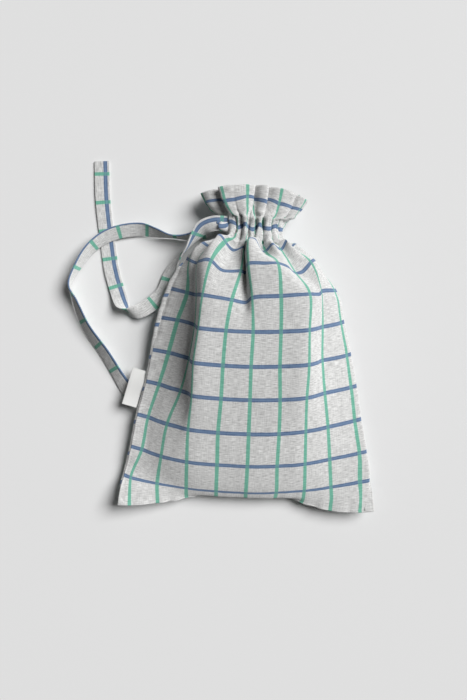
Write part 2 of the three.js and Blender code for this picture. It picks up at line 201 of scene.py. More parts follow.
FRONT_TAIL_ROUTE = [
    (-11.5, 0, 39.8, 0), (-25.5, -4.5, 36, -25), (-34.5, -15, 29.8, -55), (-42.5, -26, 23, -85),
    (-51, -35.5, 16, -105), (-59, -45.5, 10.8, -125), (-66, -60.5, 8.2, -148), (-71.5, -79, 8, -165),
    (-87, -96, 10, -178), (-101.5, -104, 11.5, -195), (-114, -104, 10.4, -262), (-120.5, -97, 6.8, -325),
    (-127, -82, 3, -353), (-135.5, -55.5, 1.8, -357), (-142, -19, 1.6, -361), (-149, 29, 1.7, -358),
    (-152, 76, 1.8, -362),
]
BACK_TAIL_ROUTE = [
    (-13, -2, 8.6, -14), (-42, -12.5, 11, -70), (-64, -13, 11.4, -86), (-84, -9, 10.8, -58),
    (-102.5, -5.5, 8.4, -36), (-136, -12.5, 9.4, -38), (-159.5, -29, 11.2, -56), (-174.5, -52, 12.2, -72),
    (-184, -75.5, 10.6, -90), (-177, -95, 10, -115), (-163, -125, 8.6, -128), (-140, -156, 7.4, -136),
    (-120, -186.5, 6.2, -146), (-107.5, -204, 3.8, -165), (-100.5, -213, 2.8, -172),
]


def catmull_rom(stops, count):
    """Points at even steps along a centripetal curve through the stops, and its length."""
    stops = np.asarray(stops, float)
    ends = np.vstack([2 * stops[0] - stops[1], stops, 2 * stops[-1] - stops[-2]])
    t = np.linspace(0, 1, CURVE_STEPS, endpoint=False)[:, None]
    fine = []
    for i in range(len(stops) - 1):
        p0, p1, p2, p3 = ends[i : i + 4]
        d = [max(np.linalg.norm(b[:3] - a[:3]) ** 0.5, 1e-6) for a, b in ((p0, p1), (p1, p2), (p2, p3))]
        m1 = ((p1 - p0) / d[0] - (p2 - p0) / (d[0] + d[1]) + (p2 - p1) / d[1]) * d[1]
        m2 = ((p2 - p1) / d[1] - (p3 - p1) / (d[1] + d[2]) + (p3 - p2) / d[2]) * d[1]
        fine.append(hermite(t, p1, m1, p2, m2))
    fine = np.vstack(fine + [stops[-1:]])
    run = run_along(fine[:, :3])
    return straight_through(run, fine, np.linspace(0, run[-1], count)), run[-1]


print("stops of the tails", len(FRONT_TAIL_ROUTE), len(BACK_TAIL_ROUTE))

# %% The check's lines on the flat cloth, in metres
GREEN_PITCH = 0.0343
GREEN_FIRST = -0.139
BLUE_PITCH = 0.0393
BLUE_FIRST = 0.035
GREEN_WIDTH = 0.0043
BLUE_WIDTH = 0.0047
print("check of", GREEN_PITCH, "by", BLUE_PITCH, "m")

# %% Sweep the band
# The section is in shares of the band's width and thickness, with a groove where it is stitched.
BAND_SECTION = [
    (-0.5, 0.12), (-0.485, 0.42), (-0.44, 0.5), (-0.38, 0.5), (-0.34, 0.4), (-0.3, 0.5), (-0.12, 0.52),
    (0.12, 0.52), (0.34, 0.5), (0.46, 0.46), (0.492, 0.34), (0.5, 0.0),
]
BAND_LOOP = [(u * TIE_WIDTH, v * TIE_THICKNESS) for u, v in BAND_SECTION]
BAND_LOOP += [(u, -v) for u, v in reversed(BAND_LOOP[1:-1])]


def band(name, route, channel_z, blue_side, blue_at, green_at):
    grips = [(TIE_GRIP, 0, channel_z, 0), (TIE_GRIP / 2, 0, channel_z, 0), (0, 0, channel_z, 0)]
    line, length = catmull_rom(grips + list(route), TAIL_STEPS)
    centre = line[:, :3] + np.array([MOUTH_X, CASING_Y, 0])
    heading = unit(np.gradient(centre, axis=0))
    left = unit(np.cross([0, 0, 1], heading))
    roll = np.radians(line[:, 3])[:, None]
    aside = left * np.cos(roll) + np.cross(heading, left) * np.sin(roll)
    piece = swept(name, centre, aside, np.cross(heading, aside), BAND_LOOP)
    run = np.linspace(0, length, TAIL_STEPS)
    # One face carries the blue line near its edge. On the other face the line lies off the band.
    layer = piece.data.uv_layers.new(name="flat")
    for face in piece.data.polygons:
        segment = face.index % len(BAND_LOOP)
        striped = (segment < len(BAND_SECTION) - 1) == (blue_side > 0) or segment >= len(BAND_LOOP) - 1
        for corner in face.loop_indices:
            step, place = divmod(piece.data.loops[corner].vertex_index, len(BAND_LOOP))
            off_line = BAND_LOOP[place][0] if striped else -TIE_WIDTH - BAND_LOOP[place][0]
            layer.data[corner].uv = (
                GREEN_FIRST + (run[step] - green_at) * MM, BLUE_FIRST + (off_line - blue_at) * MM,
            )
    print(name, "length", round(length, 1), "mm")
    return piece, centre


front_tail, front_line = band(
    "front_tail_band", FRONT_TAIL_ROUTE, FRONT_CHANNEL_Z, blue_side=1, blue_at=-4.2, green_at=376,
)
back_tail, back_line = band(
    "back_tail_band", BACK_TAIL_ROUTE, BACK_CHANNEL_Z, blue_side=-1, blue_at=-8.2, green_at=400,
)

# %% Hang each tail on its tie and hide its solid
for piece, node, body, line, channel_z, length in (
    (front_tail, "front_tail", "front_tie", front_line, FRONT_CHANNEL_Z, 0.390),
    (back_tail, "back_tail", "back_tie", back_line, BACK_CHANNEL_Z, 0.413),
):
    dress(piece, body, [node])
    print(piece.name, "slides with", body)

# %% [markdown]
# ## The front panel on the loaf
# The flat panel is 305 mm wide and 445 mm long. Filled, it climbs from the bottom seam over the loaf,
# falls at the shoulder and is gathered in the casing. Dropping a cloth over a loaf would give the bulge,
# but not the folds of this bag. The woven lines show where its cloth goes, so it is lofted through rows
# of points: at each station along the cloth they say where its lengthwise threads lie.

# %% Stations along the cloth
# Every station starts with its place along the flat cloth. Those of the bottom and the shoulder go on
# with points (flat across, x, y, z). Those of the loaf go on with the y of the middle, how far the sides
# lie ahead of it, and the x and the z of all sixteen threads.
FLAT_HALF = 152.5
FLAT_LENGTH = 445
NECK_AT = 378
CASING_END = 399
THREADS = (-152.5, -139, -121, -104.7, -88, -70.4, -36.1, -1.8, 32.5, 66.8, 84, 101.1, 118, 135.4, 145, 152.5)

BOTTOM_STATIONS = [
    (0, [
        (-152.5, -150, -190, 25), (-139, -137, -190, 24), (-104.7, -104, -187, 19), (-70.4, -70, -181, 13.5),
        (-36.1, -35, -171, 8.5), (-1.8, 0, -168, 7), (32.5, 34, -171, 8.5), (66.8, 67, -182, 13),
        (101.1, 101, -189.5, 18), (135.4, 136, -190, 21), (152.5, 152, -188.5, 21)]),
    (17, [
        (-152.5, -148.5, -173, 21), (-139, -137.5, -174, 21), (-104.7, -105, -174.5, 20),
        (-70.4, -70.5, -176, 18), (-36.1, -35, -178, 16.5), (-1.8, 0, -178, 16), (32.5, 35, -177.5, 16.5),
        (66.8, 68.5, -176.5, 18), (101.1, 102, -175, 18.5), (135.4, 137, -173, 18), (152.5, 151, -171, 14)]),
]
LOAF_STATIONS = [
    (35, -171, 17,
     (-145, -137.5, -121, -105.5, -88, -70.5, -35, 0, 36, 69, 85, 101, 118.5, 136, 148, 148),
     (14, 15, 17, 19, 21, 23, 25, 25.5, 25, 23, 21, 18.5, 16, 14, 11, 6)),
    (74.3, -137.4, 18,
     (-137.5, -125, -113, -101, -86, -70, -34.7, 0.5, 35, 67.6, 82.5, 97.3, 115.5, 134, 143.5, 141.5),
     (16, 18, 24, 30, 36, 40.5, 43, 44, 43, 39.5, 34.5, 28, 21, 15, 11, 6)),
    (113.6, -98.7, 18,
     (-131, -118.6, -106.5, -94.5, -80.5, -69.3, -34.6, 0.5, 35.3, 66.5, 80, 92.9, 110, 127, 135.5, 133),
     (18, 20, 27, 35, 44.5, 52, 54.5, 55.5, 54.5, 50.5, 44, 36, 26, 16.5, 12, 6.5)),
    (152.9, -59, 18,
     (-121.5, -106.4, -93, -80, -70.5, -66, -32.2, 0.5, 34.5, 64.8, 77, 87.2, 104, 120.7, 128.5, 126),
     (20, 24, 33, 41, 54, 65, 66.5, 67, 66.5, 63.5, 54.5, 44, 31, 19, 13, 7)),
    (192.2, -21.3, 18,
     (-115, -96.2, -81, -71, -69, -65, -31.2, 0.3, 32.7, 65.5, 75.5, 83.2, 99, 114.4, 120.5, 117.5),
     (21, 27, 38.5, 44, 58, 71.5, 74, 74.5, 74, 70.5, 60, 47, 34, 21, 14.5, 8)),
    (231.5, 17.9, 17,
     (-106, -86.5, -72.5, -65.5, -63.5, -60.5, -29, 1.2, 32.4, 65, 74, 81.7, 94.5, 106, 110.5, 107.5),
     (23, 30, 42, 48, 62, 74.5, 77.5, 78, 77.5, 73.5, 62, 49, 37, 24, 16.5, 10)),
]
SHOULDER_STATIONS = [
    (270.8, [
        (-152.5, -95.5, 67, 25), (-139, -76.5, 62, 38), (-104.7, -65, 59, 51), (-70.4, -57, 57.6, 73.5),
        (-36.1, -23.6, 53, 75.5), (-19, -8.5, 51, 69.5), (-1.8, -1.3, 55.7, 78.5), (32.5, 31, 59, 79),
        (66.8, 63.7, 62.6, 73), (88, 76, 64, 59), (103, 78.5, 67.3, 55), (135.4, 96, 70.7, 32),
        (145, 99.5, 71.5, 22), (152.5, 96.5, 72, 15)]),
    (310.1, [
        (-152.5, -78.5, 103, 27), (-135, -74, 99.6, 40), (-112, -66, 96, 48), (-92, -62, 96.7, 62),
        (-70.4, -48.6, 96.5, 71.5), (-56, -37, 87, 65), (-36.1, -14.5, 86.8, 64), (-19, -9, 86, 56),
        (-1.8, -7, 94.2, 76), (15, 11.9, 95, 79), (32.5, 26.4, 95.8, 78), (46, 37, 93.4, 72),
        (66.8, 48.2, 87, 60), (84, 57, 90, 55), (101.1, 65.7, 101, 51), (120, 71, 105, 40),
        (135.4, 71, 104, 30), (152.5, 67, 103, 20)]),
    (349.4, [
        (-152.5, -57, 123, 26), (-125, -60, 121, 38), (-105, -50, 116, 44), (-80, -40, 127, 60),
        (-58, -24.5, 111.5, 50), (-40, -12.5, 116, 50), (-22, -10, 112, 43), (-4, -8, 124.5, 60),
        (12, 1, 124, 59), (28, 10.2, 111.5, 48), (48, 21, 119.5, 58), (68, 31, 115, 47),
        (88, 37, 125.5, 51), (108, 41, 118, 40), (126, 47, 123, 36), (152.5, 52, 122, 24)]),
]

COLUMNS = 181
ROWS = 210
across = np.linspace(-FLAT_HALF, FLAT_HALF, COLUMNS)
along = np.linspace(0, FLAT_LENGTH, ROWS)
share = (across / FLAT_HALF + 1) / 2
print("front cloth grid", COLUMNS, "by", ROWS)

# %% [markdown]
# ## The gathered neck
# The tie draws 305 mm of cloth into a neck about 62 mm wide, so the cloth stands in rounded pleats. A
# simulation could gather it, but its pleats would fall by chance, so they are drawn. Each row of the neck
# follows a flattened ring just outside the tie, and the crests of the pleats stand out from it. The frill
# above the casing opens again in fewer, broader waves.

# %% Places of the ring, the pleats and the frill
# The neck's line is (x, z). The knob's stops are (flat across, move in x, move in z), the frill's are (flat
# across, x, z) on its edge, and the lag's are (flat across, power): above 1 the cloth there rises late.
NECK_LINE = [
    (-25, 24), (-26.5, 30), (-25, 37), (-18, 41.4), (0, 41.8), (12, 41.6), (22.5, 38.5), (28.5, 32),
    (30.5, 24),
]
KNOB_STOPS = [
    (-152.5, 0, 0), (-146, -9, 3), (-139, -15, 8), (-132, -17, 12), (-125, -11, 9), (-119, -13, 12),
    (-111, -6, 7), (-102, -2, 2), (-92, 0, 0), (152.5, 0, 0),
]
FRILL_STOPS = [
    (-152.5, -56, 19), (-143, -65, 25), (-130, -57, 34), (-112, -41, 32), (-95, -33, 27), (-87, -39, 34),
    (-78, -44, 42.5), (-62, -33, 47.5), (-50, -22, 48), (-36.1, -10, 46.5), (-29, -3.5, 44), (-22, -0.5, 39),
    (-13, -6, 31), (-5, -7, 30), (2, -1.5, 37), (8, 4, 43), (14, 9, 46), (20, 13.5, 46), (24, 14.8, 42),
    (36, 8, 29), (48, 14.5, 36), (56, 21, 42.5), (66.8, 30, 45), (78, 39, 43.5), (86, 45.5, 40),
    (92, 47, 35), (99, 42, 28.5), (106, 45, 33.5), (113, 50, 37.5), (123, 54, 38), (135.4, 59, 35.5),
    (146, 61.5, 29), (152.5, 55, 21),
]
FRILL_LAG = [
    (-152.5, 1.1), (-95, 1.2), (-78, 1.6), (-55, 1.35), (-36.1, 1), (-5, 1), (14, 1.4), (24, 1.5), (40, 1.05),
    (50, 1.1), (66.8, 1.5), (90, 1.55), (120, 1.5), (152.5, 1.3),
]
NECK_VALLEYS = [-154, -127, -106, -80, -56, -28, 4, 34, 68, 98, 154]
NECK_HEIGHTS = [1.5, 3, 7, 5, 9, 6, 8, 9.5, 7, 3.5]
NECK_SLIDES = [3, -4, 3, -3, 2, -3, 3, -2, 2.5, 0]
print("pleats round the neck", len(NECK_HEIGHTS))

# %% Ring and pleats
CASING_FLARE = 2.5
PLEAT_ROUNDNESS = 0.5
TANGENT_STEP = 0.004


def along_line(points):
    """Where each thread meets the line, and which way is out from it."""
    points = np.asarray(points, float)
    run = run_along(points)
    places = [np.clip(share + step, 0, 1) for step in (0, TANGENT_STEP, -TANGENT_STEP)]
    place, ahead, behind = (smooth_through(run / run[-1], points, at) for at in places)
    tangent = unit(ahead - behind)
    return place, np.stack([-tangent[:, 1], tangent[:, 0]], -1)


def crests(valleys, heights, sharpness):
    """A rounded crest of the given height between each two valleys."""
    low = np.clip(np.searchsorted(valleys, across, side="right") - 1, 0, len(valleys) - 2)
    valleys = np.asarray(valleys, float)
    t = (across - valleys[low]) / (valleys[low + 1] - valleys[low])
    return np.asarray(heights, float)[low] * np.sin(math.pi * t) ** sharpness


neck_crest = crests(NECK_VALLEYS, NECK_HEIGHTS, PLEAT_ROUNDNESS)
neck_slide = crests(NECK_VALLEYS, NECK_SLIDES, 1)
neck_place, neck_out = along_line(NECK_LINE)
knob_stops = np.asarray(KNOB_STOPS, float)
neck_knob = straight_through(knob_stops[:, 0], knob_stops[:, 1:], across)
neck_ring = neck_place + neck_out * neck_crest[:, None]
frill_stops = np.asarray(FRILL_STOPS, float)
frill_ring = smooth_through(frill_stops[:, 0], frill_stops[:, 1:], across)
frill_lag = np.interp(across, *np.transpose(FRILL_LAG))
print("neck", round(np.ptp(neck_ring[:, 0]), 1), "and frill", round(np.ptp(frill_ring[:, 0]), 1), "mm wide")

# %% Rows of the front sheet
NECK_Y = 132.5
CASING_TOP_Y = 154
NECK_SAG = 4
FRILL_TOP_Y = 189
FRILL_HALF = 57
FRILL_DIP = 12.5
LEFT_DIP_SHARE = 0.55
FRILL_OPENING = 0.68
LEFT_END_OPENING = 0.35
LOAF_SKEW = 0.14
neck_sag = NECK_SAG * rise(share, 0.1, 0.45)
frill_opening = FRILL_OPENING + (LEFT_END_OPENING - FRILL_OPENING) * rise(-across, 110, 135)


def loaf_row(station):
    _, middle, lift, x, z = station
    row = smooth_through(THREADS, np.stack([x, np.zeros(len(x)), z], -1), across)
    place = across / FLAT_HALF
    row[:, 1] = middle + lift * (place**2 + LOAF_SKEW * place)
    return row


def casing_row(flat_at, ring, out, knob=0):
    t = (flat_at - NECK_AT) / (CASING_END - NECK_AT)
    row = np.zeros((COLUMNS, 3))
    row[:, [0, 2]] = ring + out * (CASING_FLARE * (2 * t - 1) ** 2) + knob * math.sin(math.pi * t)
    row[:, 1] = NECK_Y + (CASING_TOP_Y - NECK_Y) * t - neck_sag + neck_slide * math.sin(math.pi * t)
    return row


def frill_row(flat_at, start, edge, dip):
    t = (flat_at - CASING_END) / (FLAT_LENGTH - CASING_END)
    dip_share = np.where(edge[:, 0] < 0, LEFT_DIP_SHARE, 1)
    top = FRILL_TOP_Y - dip * dip_share * (edge[:, 0] / FRILL_HALF) ** 2
    spread = t ** frill_opening[:, None]
    row = np.zeros((COLUMNS, 3))
    row[:, [0, 2]] = start[:, [0, 2]] + (edge - start[:, [0, 2]]) * spread
    row[:, 1] = start[:, 1] + (top - start[:, 1]) * t**frill_lag
    return row


def guide_row(station):
    points = np.asarray(station[1], float)
    return smooth_through(points[:, 0], points[:, 1:], across)


# %% Whole front sheet
def front_sheet():
    stops = [s[0] for s in BOTTOM_STATIONS + LOAF_STATIONS + SHOULDER_STATIONS]
    guides = [guide_row(s) for s in BOTTOM_STATIONS]
    guides += [loaf_row(s) for s in LOAF_STATIONS]
    guides += [guide_row(s) for s in SHOULDER_STATIONS]
    casing_end = casing_row(CASING_END, neck_ring, neck_out)
    stops += [NECK_AT, CASING_END]
    guides += [casing_row(NECK_AT, neck_ring, neck_out), casing_end]
    grid = smooth_through(stops, guides, np.minimum(along, CASING_END))
    for i, flat_at in enumerate(along):
        if NECK_AT <= flat_at <= CASING_END:
            grid[i] = casing_row(flat_at, neck_ring, neck_out, neck_knob)
        elif flat_at > CASING_END:
            grid[i] = frill_row(flat_at, casing_end, frill_ring, FRILL_DIP)
    return grid


front_points = front_sheet()
flat_grid = np.stack(np.meshgrid(across, along), -1)
print("crown of the front", round(front_points[..., 2].max(), 1), "mm above the table")

# %% [markdown]
# ## Small unevenness of real cloth
# Linen is never quite even: it swells a little where the loaf does, puckers along its seams, and
# crumples where it is drawn in. A simulation would find such small moves too, but it would also pull the
# woven lines out of place, so here smooth noise moves each point a little along the cloth's own normal.


# %% Uneven cloth
def grid_normals(points):
    return unit(np.cross(np.gradient(points, axis=1), np.gradient(points, axis=0)))


def grain(flat, wide, long, layer):
    """Smooth noise on the flat cloth, in waves of the given size. Each layer is another noise."""
    values = [noise.noise(Vector((a / wide, b / long, layer))) for a, b in flat.reshape(-1, 2)]
    return np.array(values).reshape(flat.shape[:2])


SWELL = 1.1
SLACK, DRAWN_SLACK = 0.35, 0.3
CRUMPLE = 2.4
BOTTOM_PUCKER, BOTTOM_STITCH, BOTTOM_REACH = 0.8, 3.4, 11
SIDE_PUCKER, SIDE_STITCH, SIDE_REACH = 0.5, 3.1, 8


def unevenness(flat):
    a, b = flat[..., 0], flat[..., 1]
    side = FLAT_HALF - abs(a)
    gather = rise(b, 320, 370)
    drawn = gather * (1 - 0.6 * rise(b, 400, 430))
    soft = SWELL * grain(flat, 45, 60, 3) + (SLACK + DRAWN_SLACK * drawn) * grain(flat, 16, 19, 7)
    crumple = CRUMPLE * drawn * grain(flat, 13, 8, 11) * rise(side, 0, 10)
    bottom = np.sin(a / BOTTOM_STITCH + 2 * grain(flat, 30, math.inf, 5)) * np.exp(-b / BOTTOM_REACH)
    sides = np.sin(b / SIDE_STITCH + 2 * grain(flat, math.inf, 30, 9)) * np.exp(-side / SIDE_REACH)
    puckers = BOTTOM_PUCKER * bottom + SIDE_PUCKER * sides * (1 - gather)
    return soft * rise(side, 0, 12) * rise(b, 0, 14) + crumple + puckers


# %% Uneven front
SEAM_SINK = 1.3
front_points += grid_normals(front_points) * unevenness(flat_grid)[..., None]
front_points[:, 0, 2] -= SEAM_SINK * rise(along, 175, 215) * (1 - rise(along, 310, 340))
front = cloth_mesh("bag_front", front_points, flat_grid)
print("front sheet", len(front.data.vertices), "points")

# %% [markdown]
# ## The back panel
# The back lies on the table under the loaf and rolls up to the seams. Under the narrow shoulders there is
# more cloth than table, so it stands in lengthwise folds inside the bag. Shrinking the flat panel would
# squeeze its check, so each row's folds are made just deep enough that the row keeps the panel's flat
# width. On the left the back rolls a little past the seam, and its check, cut elsewhere from the cloth,
# does not meet the front's.

# %% Outline of the back
# Both lines are (x, z). The back's stops are shares of its width, one for each point of a row's outline.
BACK_NECK_LINE = [
    (-25, 22), (-28, 15), (-27, 8.5), (-20, 6.6), (0, 6.4), (12, 6.6), (22.5, 9.5), (28.5, 16), (30.5, 24),
]
BACK_FRILL_LINE = [
    (-61, 20), (-58, 14), (-45, 11), (-25, 9), (0, 9), (25, 10), (42, 12), (52, 16), (55, 22),
]
BACK_FRILL_VALLEYS = [-172, -112, -32, 24, 90, 172]
BACK_FRILL_HEIGHTS = [5, 9, 8, 9, 5]
BACK_STOPS = [0, 0.011, 0.023, 0.048, 0.11, 0.25, 0.5, 0.75, 0.89, 0.955, 1]
BACK_VALLEYS = [-152.5, -127, -104, -80, -58, -33, -8, 18, 42, 69, 93, 121, 152.5]
BACK_PLEAT_SHARE = 0.65
BACK_FRILL_ROUNDNESS = 0.9
BACK_FRILL_MEAN = 4
BACK_FRILL_LOWEST = 1.2

back_place, back_out = along_line(BACK_NECK_LINE)
back_out = -back_out
back_ring = back_place + back_out * (BACK_PLEAT_SHARE * neck_crest)[:, None]
back_frill, back_frill_out = along_line(BACK_FRILL_LINE)
back_waves = crests(BACK_FRILL_VALLEYS, BACK_FRILL_HEIGHTS, BACK_FRILL_ROUNDNESS) - BACK_FRILL_MEAN
back_frill -= back_frill_out * back_waves[:, None]
back_frill[:, 1] = np.maximum(back_frill[:, 1], BACK_FRILL_LOWEST)
back_folds = crests(BACK_VALLEYS, np.ones(len(BACK_VALLEYS) - 1), 2) * rise(FLAT_HALF - abs(across), 0, 16)
print("folds under the bag", len(BACK_VALLEYS) - 1)

# %% Rows of the back
DEEPEST_FOLD = 13
FOLD_TRIES = 10
RIM_OUT, RIM_MORE = 3, 3.5
RIDGE_HEIGHT = 3.4
ROLL_IN = 14
UNDERSIDE_Z = 0.7
BACK_BOTTOM_Y = -168


def folded(row):
    """The row with its folds deepened until it is as long as the panel is wide."""
    shallow, deep = 0, DEEPEST_FOLD
    for _ in range(FOLD_TRIES):
        depth = (shallow + deep) / 2
        trial = row + np.outer(back_folds, [0, 0, depth])
        if run_along(trial)[-1] < 2 * FLAT_HALF:
            shallow = depth
        else:
            deep = depth
    return trial


def back_body_row(flat_at, left, right):
    x0, y0, z0 = left
    x1, y1, z1 = right
    width = x1 - x0
    rim = RIM_OUT + RIM_MORE * rise(flat_at, 175, 235)
    ridge = RIDGE_HEIGHT * rise(flat_at, 185, 225)
    middle = BACK_BOTTOM_Y + (NECK_Y - NECK_SAG - BACK_BOTTOM_Y) * flat_at / NECK_AT
    # From the left seam out over the rim, under the bag and up to the right seam.
    outline = [
        (x0, y0, z0), (x0 - 0.6 * rim, y0, z0 * 0.93 + ridge), (x0 - rim, y0, z0 * 0.8 + 0.6 * ridge),
        (x0 - 0.5 * rim, y0, max(z0 * 0.45, 2)), (x0 + ROLL_IN, (y0 + middle) / 2, 2 * UNDERSIDE_Z),
    ]
    outline += [(x0 + part * width, middle, UNDERSIDE_Z) for part in (0.25, 0.5, 0.75)]
    outline += [(x1 - ROLL_IN, (y1 + middle) / 2, 1.2), (x1 - 1, y1, max(z1 * 0.4, 1.6)), (x1, y1, z1)]
    return folded(smooth_through(BACK_STOPS, outline, share))


# %% Whole back sheet
BACK_FRILL_DIP = 6
BACK_CHECK_DROP = 9
BOTTOM_ROLL = 26
GATHERS_FROM = 280
SEAM_PULL = 0.05
TABLE_Z = 0.05


def back_sheet(front_points):
    grid = np.zeros((ROWS, COLUMNS, 3))
    neck = casing_row(NECK_AT, back_ring, back_out)
    casing_end = casing_row(CASING_END, back_ring, back_out)
    near_left = 1 - rise(share, 0, SEAM_PULL)[:, None]
    near_right = 1 - rise(1 - share, 0, SEAM_PULL)[:, None]
    for i, flat_at in enumerate(along):
        left, right = front_points[i, 0], front_points[i, -1]
        if flat_at < NECK_AT:
            row = back_body_row(flat_at, left, right)
            row += (neck - row) * [[1, 0, 1]] * rise(flat_at, GATHERS_FROM, NECK_AT)
            row += (front_points[0] - row) * (1 - rise(flat_at, 0, BOTTOM_ROLL))
        elif flat_at <= CASING_END:
            row = casing_row(flat_at, back_ring, back_out)
        else:
            row = frill_row(flat_at, casing_end, back_frill, BACK_FRILL_DIP)
        grid[i] = row + (left - row[0]) * near_left + (right - row[-1]) * near_right
    grid[..., 2] = np.maximum(grid[..., 2], TABLE_Z)
    return grid


back_points = back_sheet(front_points)
back = cloth_mesh("bag_back", back_points[:, ::-1], flat_grid[:, ::-1] + [0, BACK_CHECK_DROP])
print("back sheet", len(back.data.vertices), "points")

# %% [markdown]
# ## The cloth's thickness
# So far both sheets are thin as paper, and real cloth shows its thickness at every edge. Extruding by hand
# would do, but the Solidify modifier does it evenly over all the folds. It grows inward, so the outer face
# stays where it was put.

# %% Thickness of the cloth
CLOTH_THICKNESS = 0.7


def finish_cloth(piece):
    choose(piece)
    solid = piece.modifiers.new("thick", "SOLIDIFY")
    solid.thickness = CLOTH_THICKNESS * MM
    solid.offset = -1
    bpy.ops.object.modifier_apply(modifier="thick")
    print(piece.name, "faces", len(piece.data.polygons))


finish_cloth(front)
finish_cloth(back)
dress(front, "bag", ["front_panel", "front_casing", "front_frill"])
dress(back, "bag", ["back_panel", "back_casing", "back_frill"])

# %% [markdown]
# ## Seam allowances
# The panels are sewn face to face and turned, so 10 mm of both cloths lies inside each seam, and the
# turned edge shows as a thin ridge. A bevelled curve would turn freely about its line, so a flat section
# is swept along each seam in code and always points into the bag.

# %% Seams
# The section is (inward from the seam, up), and each seam looks a few points into the grid for its inside.
SEAM_WIDTH = 10
SEAM_SECTION = [
    (-0.7, 0), (-0.5, 0.5), (0, 0.8), (SEAM_WIDTH, 0.6), (SEAM_WIDTH, -0.6), (0, -0.8), (-0.5, -0.5),
]
SEAM_LOOK_IN = 9


def seam(name, line, inside, flat, flat_inward):
    heading = unit(np.gradient(line, axis=0))
    inward = inside - line
    inward = unit(inward - heading * np.sum(inward * heading, axis=1)[:, None])
    piece = swept(name, line, inward, np.cross(heading, inward), SEAM_SECTION)
    lay_flat(piece, flat[:, None] + np.outer([u for u, _ in SEAM_SECTION], flat_inward)[None])
    dress(piece, "bag", [name.removesuffix("_allowance")])
    return piece


SEAM_ENDS_BELOW_NECK = 24
body_rows = along < NECK_AT - SEAM_ENDS_BELOW_NECK
middles = (front_points + back_points) / 2
left_seam = seam(
    "side_seam_left_allowance", front_points[body_rows, 0], middles[body_rows, SEAM_LOOK_IN],
    flat_grid[body_rows, 0], (1, 0),
)
right_seam = seam(
    "side_seam_right_allowance", front_points[body_rows, -1], middles[body_rows, -1 - SEAM_LOOK_IN],
    flat_grid[body_rows, -1], (-1, 0),
)
bottom_seam = seam(
    "bottom_seam_allowance", front_points[0], middles[SEAM_LOOK_IN], flat_grid[0], (0, 1),
)
print("seams", left_seam.name, right_seam.name, bottom_seam.name)

# %% [markdown]
# ## The tie inside the casing
# Between its two tails the tie runs round the neck, inside the casing. A bevelled curve would do for so
# short a stretch, but the section of the tails is at hand, so it is swept along the neck's own ring and
# keeps inside the cloth. A plain facing on the inner side closes the channel, as the turned-down hem of a
# real bag does.

# %% Fixed loop of the tie
LOOP_FROM_X = 9.1
LOOP_DEPTH = 1.6
FACING_DEPTH = 3.6
LOOP_Y = CASING_Y - 3  # millimetres, a little below the tails

front_half = neck_place[:, 0] > LOOP_FROM_X
back_half = back_place[:, 0] > LOOP_FROM_X
loop_out = np.concatenate([neck_out[front_half], back_out[back_half][-2::-1]])
loop_ring = np.concatenate([neck_place[front_half], back_place[back_half][-2::-1]]) - loop_out * LOOP_DEPTH
loop_line = np.insert(loop_ring, 1, LOOP_Y, axis=1)
upright = np.tile([0.0, 1, 0], (len(loop_line), 1))
tie_loop = swept("tie_loop_band", loop_line, upright, np.insert(loop_out, 1, 0, axis=1), BAND_LOOP)
loop_run = np.arange(len(loop_line))
lay_flat(tie_loop, np.stack(np.meshgrid([v for _, v in BAND_LOOP], loop_run), -1))
dress(tie_loop, "bag", ["tie_loop"])
print("tie inside the casing", round(run_along(loop_line)[-1]), "mm")

# %% Facings
FACED = slice(38, COLUMNS - 6)  # columns clear of the mouth on the left and of the right seam
FACING_ROWS = 8
FACING_FLARE = 0.3


def facing(name, place, out, faces_out):
    stops = np.linspace(NECK_AT - 1, CASING_END + 1, FACING_ROWS)
    ring, flare = place - out * FACING_DEPTH, out * FACING_FLARE
    grid = np.stack([casing_row(flat_at, ring, flare)[FACED] for flat_at in stops])
    flat = np.stack(np.meshgrid(across[FACED], stops), -1)
    piece = cloth_mesh(name, grid[:, ::faces_out], flat[:, ::faces_out])
    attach(piece, "bag")
    return piece


front_facing = facing("front_casing_facing", neck_place, neck_out, -1)
back_facing = facing("back_casing_facing", back_place, back_out, 1)
print("casing", tie_loop.name, front_facing.name, back_facing.name)

# %% [markdown]
# ## Stitch rows
# Two rows of straight stitches hold the casing, one below the tie and one above it. Each stitch is a
# short, rounded stretch of thread that lies on the pleats and dips into the cloth at both ends. An Array
# modifier would lay stiff copies across the folds, so a row is many small tubes in one mesh, and each
# follows the cloth.

# %% Stitches
STITCH = 2.6
STITCH_PITCH = 3.5
THREAD_RADIUS = 0.26
LOWER_ROW_AT = 379.5
UPPER_ROW_AT = 397.5
SIDES = 6
RINGS_AT = np.array([0, 0.25, 0.75, 1])  # along the stitch
RING_LIFT = np.array([-0.6, 0.9, 0.9, -0.6])  # lift and size in thread radii
RING_SIZE = np.array([0.6, 1, 1, 0.6])


